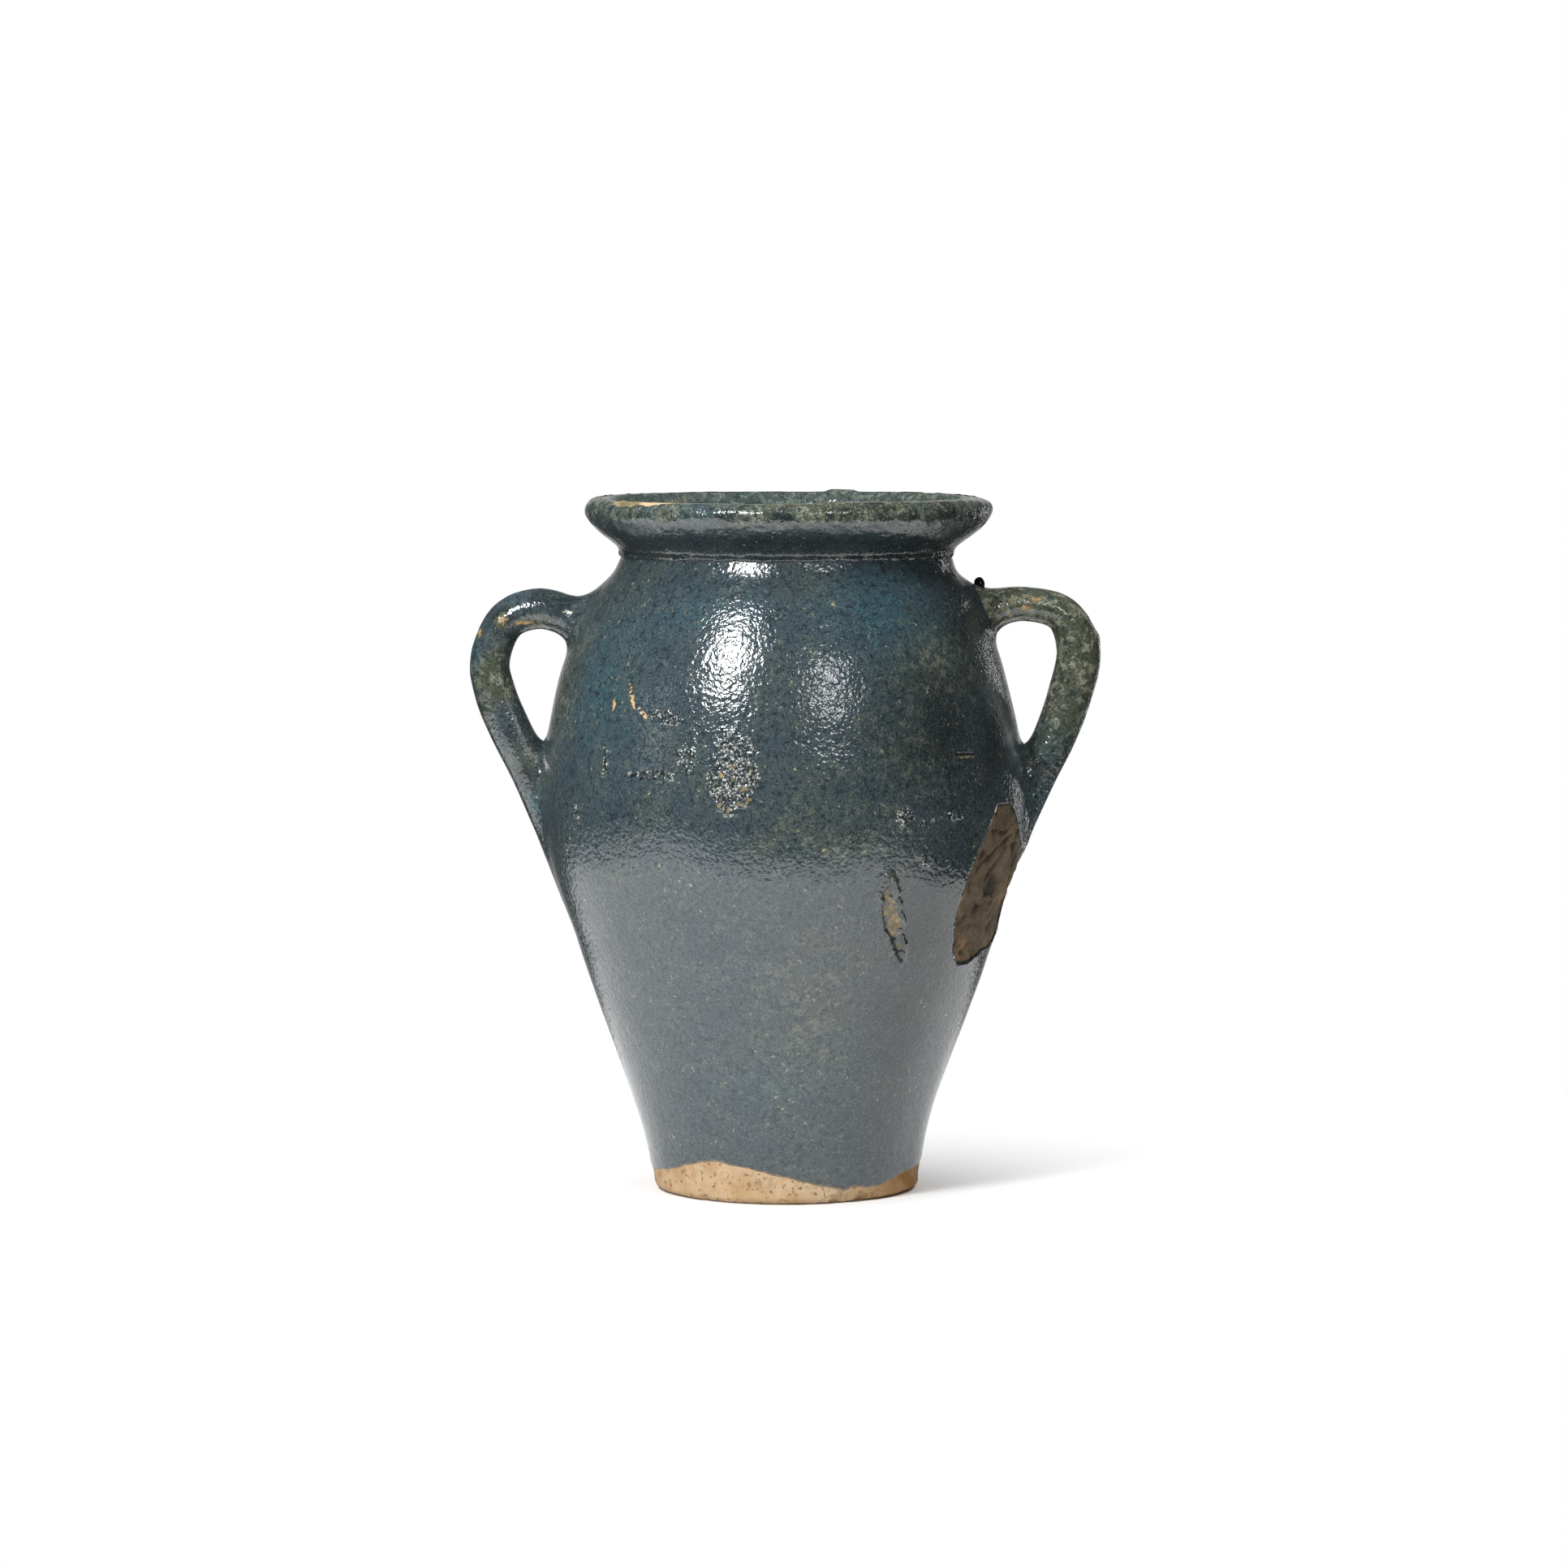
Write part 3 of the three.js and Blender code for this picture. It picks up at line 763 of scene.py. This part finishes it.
# Teal lead glaze: a glassy skin over an iron-stained base, dipped and fired once. It is slate grey-teal
# with the dimples of orange peel, fine bubbles as speckle, blue where it pools and tan where it breaks.
def teal_glaze(name, peel):
    m = new_material(name)
    here = node(m, "TexCoord", output="Object")
    thin, boiled, blue, olive, dark, bare = (
        node(m, "Attribute", output="Fac", attribute_name=key)
        for key in ("thin", "boiled", "blue", "olive", "dark", "bare")
    )
    flow = node(m, "TexNoise", (here, 1 / (26 * MM), 4, 0.6))
    share = node(m, "MapRange", (flow, 0.32, 0.5))
    colour = node(m, "Mix", (share, srgb("#37434a"), srgb("#3d484d")), **COLOUR)
    share = node(m, "MapRange", (flow, 0.5, 0.68))
    colour = node(m, "Mix", (share, colour, srgb("#454d4c")), **COLOUR)
    mottle = node(m, "TexNoise", (here, 1 / (6 * MM), 5, 0.7))
    patchy = node(m, "MapRange", (mottle, 0.38, 0.6), **SOFT)
    share = node(m, "Math", (blue, node(m, "Math", (patchy, 0.25))), **TIMES_HELD)
    colour = node(m, "Mix", (share, colour, srgb("#31525c")), **COLOUR)
    share = node(m, "Math", (olive, node(m, "Math", (1.3, patchy), operation="SUBTRACT")), **TIMES_HELD)
    colour = node(m, "Mix", (share, colour, srgb("#4c5141")), **COLOUR)
    pale = node(m, "MapRange", (mottle, 0.48, 0.62, 0, 0.85), **SOFT)
    share = node(m, "Math", (olive, pale), **TIMES_HELD)
    colour = node(m, "Mix", (share, colour, srgb("#9c9b80")), **COLOUR)
    # Two sizes of cloud in the glass: dark ones a few mm across and thin greenish-grey ones.
    cloudy = node(m, "TexNoise", (here, 1 / (3.4 * MM), 3, 0.6))
    share = node(m, "MapRange", (cloudy, 0.5, 0.34, 0, 0.75), **SOFT)
    colour = node(m, "Mix", (share, colour, srgb("#202d32")), **COLOUR)
    share = node(m, "MapRange", (mottle, 0.55, 0.68, 0, 0.6), **SOFT)
    colour = node(m, "Mix", (share, colour, srgb("#5c6052")), **COLOUR)
    # The dark share is partly glaze that fired dark and partly painted shade, on the right of the body and
    # under the lip's roll.
    share = node(m, "Math", (dark, 0.82), **TIMES_HELD)
    colour = node(m, "Mix", (share, colour, srgb("#191f20")), **COLOUR)
    # The real bubbles are about half a millimetre across; they are drawn at one so that they show.
    bubbles = node(m, "TexNoise", (here, 1 / (1.1 * MM), 3, 0.6))
    crowded = node(m, "MapRange", (mottle, 0.4, 0.62, 0.25, 0.8), **SOFT)
    share = node(m, "Math", (crowded, node(m, "MapRange", (bubbles, 0.54, 0.74), **SOFT)), **TIMES)
    colour = node(m, "Mix", (share, colour, srgb("#6c7876")), **COLOUR)
    share = node(m, "MapRange", (bubbles, 0.5, 0.3, 0, 0.85), **SOFT)
    colour = node(m, "Mix", (share, colour, srgb("#151c1e")), **COLOUR)
    flecks = node(m, "MapRange", (node(m, "TexNoise", (here, 1 / (3 * MM), 2)), 0.68, 0.74), **SOFT)
    share = node(m, "Math", (flecks, node(m, "MapRange", (flow, 0.42, 0.6), **SOFT)), **TIMES)
    colour = node(m, "Mix", (share, colour, srgb("#949077")), **COLOUR)
    # Burst bubbles: small domes, with painted shade in the gaps between them and pale painted glints on the
    # tops of some.
    domes = node(m, "TexVoronoi", (here, 1 / (1.6 * MM)))
    gap = node(m, "MapRange", (domes, 0.35, 0.6, 0, 0.7), **SOFT)
    share = node(m, "Math", (gap, boiled), **TIMES)
    colour = node(m, "Mix", (share, colour, srgb("#1a2022")), **COLOUR)
    painted_glints = node(m, "MapRange", (cloudy, 0.48, 0.58), **SOFT)
    painted_glints = node(m, "Math", (painted_glints, node(m, "MapRange", (domes, 0.55, 0.3), **SOFT)), **TIMES)
    share = node(m, "Math", (painted_glints, boiled), **TIMES_HELD)
    colour = node(m, "Mix", (share, colour, srgb("#bcbeb3")), **COLOUR)
    # Where the skin is thin it breaks in a ragged line from olive-brown to the tan of the clay.
    breaks = node(m, "TexNoise", (here, 1 / (3.2 * MM), 4, 0.7))
    breaks = node(m, "Math", (breaks, 1.4, thin), operation="MULTIPLY_ADD")
    tan = node(m, "MapRange", (breaks, 1.2, 1.42), **SOFT)
    share = node(m, "MapRange", (breaks, 1, 1.3), **SOFT)
    colour = node(m, "Mix", (share, colour, srgb("#57543f")), **COLOUR)
    colour = node(m, "Mix", (tan, colour, srgb("#93794f")), **COLOUR)
    share = node(m, "MapRange", (breaks, 1.5, 1.7), **SOFT)
    colour = node(m, "Mix", (share, colour, srgb("#bb9d6f")), **COLOUR)
    rubbed = node(m, "Mix", (patchy, srgb("#5c573f"), srgb("#9a855f")), **COLOUR)
    share = node(m, "MapRange", (bare, 0.3, 0.6), **SOFT)
    colour = node(m, "Mix", (share, colour, rubbed), **COLOUR)
    matte = node(m, "Math", (tan, share), operation="MAXIMUM")
    rough = node(m, "MapRange", (matte, 0, 1, 0.13, 0.6))
    dimples = node(m, "TexNoise", (here, 1 / (2.4 * MM), 1.5))
    swells = node(m, "TexNoise", (here, 1 / (9 * MM), 1))
    fine = node(m, "TexNoise", (here, 1 / (1.1 * MM), 1.5))
    fizz = node(m, "Math", (boiled, node(m, "MapRange", (domes, 0.6, 0, 0, 1.3), **SOFT)), **TIMES)
    height = node(m, "Math", (swells, 0.8, dimples), operation="MULTIPLY_ADD")
    height = node(m, "Math", (fine, 0.1, height), operation="MULTIPLY_ADD")
    height = node(m, "Math", (height, fizz))
    bump = node(m, "Bump", {"Height": height, "Strength": 1, "Distance": peel * MM})
    look = {"Base Color": colour, "Roughness": rough, "Normal": bump, "IOR": 1.72}
    node(m, "OutputMaterial", {"Surface": node(m, "BsdfPrincipled", look)})
    return m


outside_glaze = teal_glaze("teal_lead_glaze", 0.42)
glaze_on_body = piece("glaze_on_body", bm, outside_glaze, **tints)
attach(glaze_on_body, "root")
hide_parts("outside_glaze")

# ---- The glaze on the collar and lip ----
# The same dip covers the flared collar and the rolled lip up to its crest, where it ends in a ragged
# line against the lining. It has worn through to tan on the left of the lip.

NECK_TURNS = 420
NECK_OUT = [
    (92.6, 363.4), (94.6, 365.2), (95.7, 366.4), (96.4, 367.6), (96.5, 369.4), (97.9, 371.6),
    (101.9, 375), (107, 378.7), (111.5, 382.8), (114.9, 386.8), (116.7, 389.8), (117.2, 392.6),
    (116.7, 395.4), (114.9, 397.9), (112, 399.5), (108.3, 400),
]


def uneven_crest(turn, z):
    """Rise in mm of the lip's top: a step at the front right, a knob at the back and a slow wave."""
    step = ease(turn, 9, 11) * (1 - ease(turn, 60, 75)) * 0.8
    back = (180 - abs(turn)) * np.sign(turn)
    knob = 1.3 * (1 - ease(abs(back - 17), 3.2, 6)) * (abs(turn) > 90)
    wave = 0.3 * np.sin(np.radians(turn) * 3 + 1) - 0.5 * np.cos(np.radians(turn))
    return ease(z, 394, 399) * (step - 0.4 + knob + wave)


def worn_crest(p, turn, z):
    """How thin the glaze is along the crest, and how worn it is in the spot on the left of the lip."""
    thin = 0.45 * np.exp(-(((z - 399.6) / 0.5) ** 2))
    worn = 0.9 * np.exp(-(((turn + 54) / 7) ** 4)) * ease(z + 1.5 * lumps(p, 5, 1), 396.5, 398.5)
    return thin, worn


bm = throw(curve_through(NECK_OUT, 0.9), NECK_TURNS)
p, n = places(bm)
if (n * p * [1, 1, 0]).sum() < 0:
    n = -n
    bmesh.ops.reverse_faces(bm, faces=bm.faces)
turn = bearing(p)
z = p[:, 2]
rise = 0.35 * lumps(p, 22, 1) + 0.2 * lumps(p, 8, 3) * ease(z, 367, 372)
rise += (0.22 * lumps(p, 4, 6) + 0.45 * lumps(p, 6, 9)) * ease(z, 378, 386) * (1 - ease(z, 397, 400))
sides = ease(abs(turn), 45, 65) * (1 - ease(abs(turn), 120, 150))
rise += 0.6 * lumps(p * [1, 1, 0.6], 6, 4) * sides * ease(z, 384, 390)
rise += (0.9 * lumps(p, 4.5, 7) + 0.6 * lumps(p, 15, 2)) * np.exp(-(((z - 367.5) / 2.4) ** 2))
p = p + n * rise[:, None]
p[:, 2] += uneven_crest(turn, z)
p[:, 0] += lean(z)
thin, worn = worn_crest(p, turn, z)
rounded = ease(z + 1.5 * lumps(p, 8, 2), 385, 391)
thin = np.maximum(thin, rounded * (0.12 + 0.3 * lumps(p, 9, 3)) + 0.4 * worn)
front = np.exp(-(((turn - 18) / 22) ** 2))
olive = rounded * np.clip(0.45 + 0.8 * lumps(p, 20, 5) + 0.9 * front, 0, 1)
# Below the roll the collar is darkened as painted shade; the blotches on the roll are dark glaze.
dark = 0.8 * (1 - ease(z, 379, 387)) + 0.7 * rounded * ease(lumps(p, 16, 8), 0.05, 0.4)
put(bm, p)
# On the roll, the small boiled share brings a few painted glints and painted shade between domes.
glaze_on_neck = piece(
    "glaze_on_neck",
    bm,
    outside_glaze,
    thin=thin,
    boiled=0.15 * rounded,
    blue=0.4 * rounded,
    olive=olive,
    dark=dark,
    bare=worn,
)
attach(glaze_on_neck, "root")
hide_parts("outside_glaze")

# ---- The glaze on the handles ----
# The dip wraps the straps, thickens in the crooks where they join the body, and breaks to tan and
# olive along the outer ridges where it ran thin.

# Spots where the glaze has broken to the clay, and their half sizes, in mm; and how olive each strap is.
BROKEN_SPOTS = {
    "left": [((-176, -8, 322), (2, 8, 4)), ((-163, -12, 329), (5, 6, 5)), ((-150, -12, 328), (9, 6, 2))],
    "right": [((143, -12, 341.5), (5, 8, 2.6)), ((138, -14, 337), (9, 6, 2))],
}
OLIVE_SHARE = {"left": -0.2, "right": 0.9}
for name, handle in HANDLES.items():
    bm = pull(handle, 0.0, 88)
    p, n = places(bm)
    ridge = 0.3 * lumps(p * [1, 2.2, 1], 26, 4) + 0.15 * lumps(p, 7, 6)
    ridge += 1.3 * np.exp(-(np.linalg.norm((p - (181, 0, 320)) / (2.5, 5, 4.5), axis=1) ** 2))
    p = p + n * ridge[:, None]
    p = seat(p, n, lambda spot, t: over_handle(handle, spot), over_body)
    sprung, _ = inside_flake(bearing(p), p[:, 2])
    p *= 1 - ease(sprung, -1, 2)[:, None] * np.array([0.05, 0.05, 0])
    p = stop_in_wall(p)
    put(bm, p)
    high = ease(p[:, 2], 215, 300)
    thin = 0.35 * high * ease(lumps(p, 13, 3) + 0.5 * lumps(p, 4, 1), 0.0, 0.6)
    for spot, size in BROKEN_SPOTS[name]:
        away = np.linalg.norm((p - spot) / size, axis=1)
        thin = np.maximum(thin, np.exp(-(away**2)) * (0.85 + 0.5 * lumps(p, 3, 4)))
    olive = high * ease(lumps(p, 22, 6) + OLIVE_SHARE[name], -0.3, 0.5)
    blue = 0.8 * ease(lumps(p, 18, 9), 0.0, 0.5)
    dark = (0.55 - 0.4 * OLIVE_SHARE[name]) * ease(-lumps(p, 12, 2), 0.05, 0.5)
    nothing = np.zeros(len(p))
    made = piece(
        f"glaze_on_handle_{name}",
        bm,
        outside_glaze,
        thin=thin,
        boiled=nothing,
        blue=blue,
        olive=olive,
        dark=dark,
        bare=nothing,
    )
    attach(made, "root")
    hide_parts("outside_glaze")

# ---- The lining ----
# Glaze poured in, swirled and poured out again. It covers the floor and the walls and laps over the
# lip to its crest, where it meets the dipped skin.

LINING_TURNS = 240
LINING_IN = [
    (108.6, 399.9), (106, 399.5), (103.2, 397.6), (100.9, 394.3), (99, 389.5), (97.4, 383.8), (93, 377.6),
    (88.4, 371.6), (85.4, 365.5), (87.9, 357.3), (94, 348), (103.7, 331), (113.3, 306), (120.8, 279),
    (125.9, 254), (128.4, 229), (127.5, 209), (121.1, 181), (108.8, 144.3), (93, 98.8), (77, 54.3),
    (68.6, 31), (63.4, 21), (55.4, 15.2), (42, 12.9), (20, 12.9), (0, 12.9),
]
bm = throw(curve_through(LINING_IN, 3.2), LINING_TURNS)
p, n = places(bm)
if (n * p * [1, 1, 0]).sum() > 0:
    n = -n
    bmesh.ops.reverse_faces(bm, faces=bm.faces)
turn = bearing(p)
z = p[:, 2]
swirl = 0.25 * np.sin(math.tau * z / 19 + np.radians(turn)) * ease(z, 20, 60) * (1 - ease(z, 385, 395))
p = p + n * (swirl * 0.6)[:, None]
p[:, 2] += uneven_crest(turn, z)
p[:, 0] += lean(z)
thin, worn = worn_crest(p, turn, z)
thin = np.maximum(thin, 0.4 * worn)
nothing = np.zeros(len(p))
olive = 0.5 * ease(z, 385, 396)
blue = 0.5 + 0.5 * lumps(p, 40, 3)
put(bm, p)
lining = piece(
    "poured_lining",
    bm,
    teal_glaze("poured_lead_lining", 0.35),
    thin=thin,
    boiled=nothing,
    blue=blue,
    olive=olive,
    dark=nothing,
    bare=worn,
)
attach(lining, "root")
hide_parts("lining_glaze")

# ---- The bead ----
# A drop of glaze that fell from the kiln roof and froze in the crook of the right handle: black glass.

BEAD_HALF = np.array([3.2, 3.2, 4.1])
BEAD_CENTRE = np.array([111.6, 0, 349.6])
bm = bmesh.new()
bmesh.ops.create_icosphere(bm, subdivisions=5, radius=1)
p, n = places(bm)
p = p * MM * BEAD_HALF + BEAD_CENTRE
spread = 0.6 * ease(349 - p[:, 2], 0, 4)
p[:, :2] += (p[:, :2] - BEAD_CENTRE[:2]) * spread[:, None]
p = p + n * (0.3 * lumps(p, 3, 2))[:, None]
put(bm, p)


# Black kiln-drip glass: ash and iron melted to a drop, so it is glossy and black with a slight ripple.
def black_glass():
    m = new_material("black_kiln_drip_glass")
    here = node(m, "TexCoord", output="Object")
    tone = node(m, "TexNoise", (here, 1 / (2.5 * MM), 2))
    colour = node(m, "Mix", (tone, srgb("#060807"), srgb("#141815")), **COLOUR)
    ripple = node(m, "TexNoise", (here, 1 / (1.4 * MM), 2))
    bump = node(m, "Bump", {"Height": ripple, "Strength": 0.5, "Distance": 0.2 * MM})
    look = {"Base Color": colour, "Roughness": 0.12, "Normal": bump, "IOR": 1.6}
    node(m, "OutputMaterial", {"Surface": node(m, "BsdfPrincipled", look)})
    return m


bead = piece("fused_bead", bm, black_glass())
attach(bead, "root")
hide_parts("glaze_bead")

# ---- The studio: floor, surroundings, lights and camera ----
# A white sheet lies under the jar; the studio is white behind it and dark in front. A soft box stands at
# the front left and a weaker one at the front right, with thin strips at the left and behind on the
# right. Two broad fills, at the front left and overhead, light the jar but leave no highlight.

SWEEP = (1.3, 0.95)  # size of the white floor in metres
SWEEP_CORNER = (-0.78, -0.56)
sweep_middle = (SWEEP_CORNER[0] + SWEEP[0] / 2, SWEEP_CORNER[1] + SWEEP[1] / 2, 0)
bm = bmesh.new()
bmesh.ops.create_grid(bm, x_segments=1, y_segments=1, size=0.5)
bmesh.ops.scale(bm, vec=(*SWEEP, 1), verts=bm.verts)
bmesh.ops.translate(bm, vec=sweep_middle, verts=bm.verts)
paper = new_material("white_paper_sweep")
node(paper, "OutputMaterial", {"Surface": node(paper, "BsdfDiffuse", {"Color": srgb("#f2f2f2")})})
floor = piece("sweep", bm, paper)

world = bpy.data.worlds.new("studio")
bpy.context.scene.world = world
world.use_nodes = True
world.node_tree.nodes.clear()
direction = node(world, "TexCoord", output="Generated")
towards_back = node(world, "VectorMath", (direction, (0, 1, 0)), output="Value", operation="DOT_PRODUCT")
glow = node(world, "MapRange", (towards_back, 0.93, 0.98, 0.04, 0.6), **SOFT)
seen = node(world, "LightPath", output="Is Camera Ray")
strength = node(world, "Math", (glow, seen), operation="MAXIMUM")
node(world, "OutputWorld", {"Surface": node(world, "Background", (srgb("#ffffff"), strength))})


def soft_box(name, towards, distance, size, radiance, glossy=True, diffuse=True):
    """A rectangular light in a direction from the jar's shoulder, facing it."""
    data = bpy.data.lights.new(name, "AREA")
    data.shape = "RECTANGLE"
    data.size, data.size_y = size
    data.energy = radiance * math.pi * size[0] * size[1]
    lamp = bpy.data.objects.new(name, data)
    bpy.context.scene.collection.objects.link(lamp)
    aim = Vector((0, 0, 0.28))
    lamp.location = aim + Vector(towards).normalized() * distance
    lamp.rotation_euler = (aim - lamp.location).to_track_quat("-Z", "Y").to_euler()
    lamp.visible_glossy = glossy
    lamp.visible_diffuse = diffuse
    lamp.visible_camera = False


soft_box("key_soft_box", (-0.42, -0.70, 0.58), 1.7, (0.38, 0.6), 35)
soft_box("side_soft_box", (0.367, -0.815, 0.435), 1.8, (0.36, 0.26), 12)
soft_box("left_strip", (-0.855, -0.436, 0.245), 1.6, (0.05, 0.3), 8)
soft_box("back_strip", (0.62, 0.78, 0.0), 1.6, (0.025, 0.9), 11, diffuse=False)
soft_box("left_front_fill", (-0.6, -1.0, 0.05), 2.2, (1.2, 0.8), 3.5, glossy=False)
soft_box("overhead_fill", (0.0, 0.1, 1.0), 2.2, (4.0, 4.0), 2.6, glossy=False)

camera_data = bpy.data.cameras.new("camera")
camera_data.lens = 135.1
camera_data.sensor_width = 36
camera = bpy.data.objects.new("camera", camera_data)
bpy.context.scene.collection.objects.link(camera)
camera.location = (-0.00094, -3.39, 0.5009)
camera.rotation_euler = (math.radians(90 - 4.5), 0, 0)
bpy.context.scene.camera = camera
bpy.context.scene.view_settings.view_transform = "Standard"
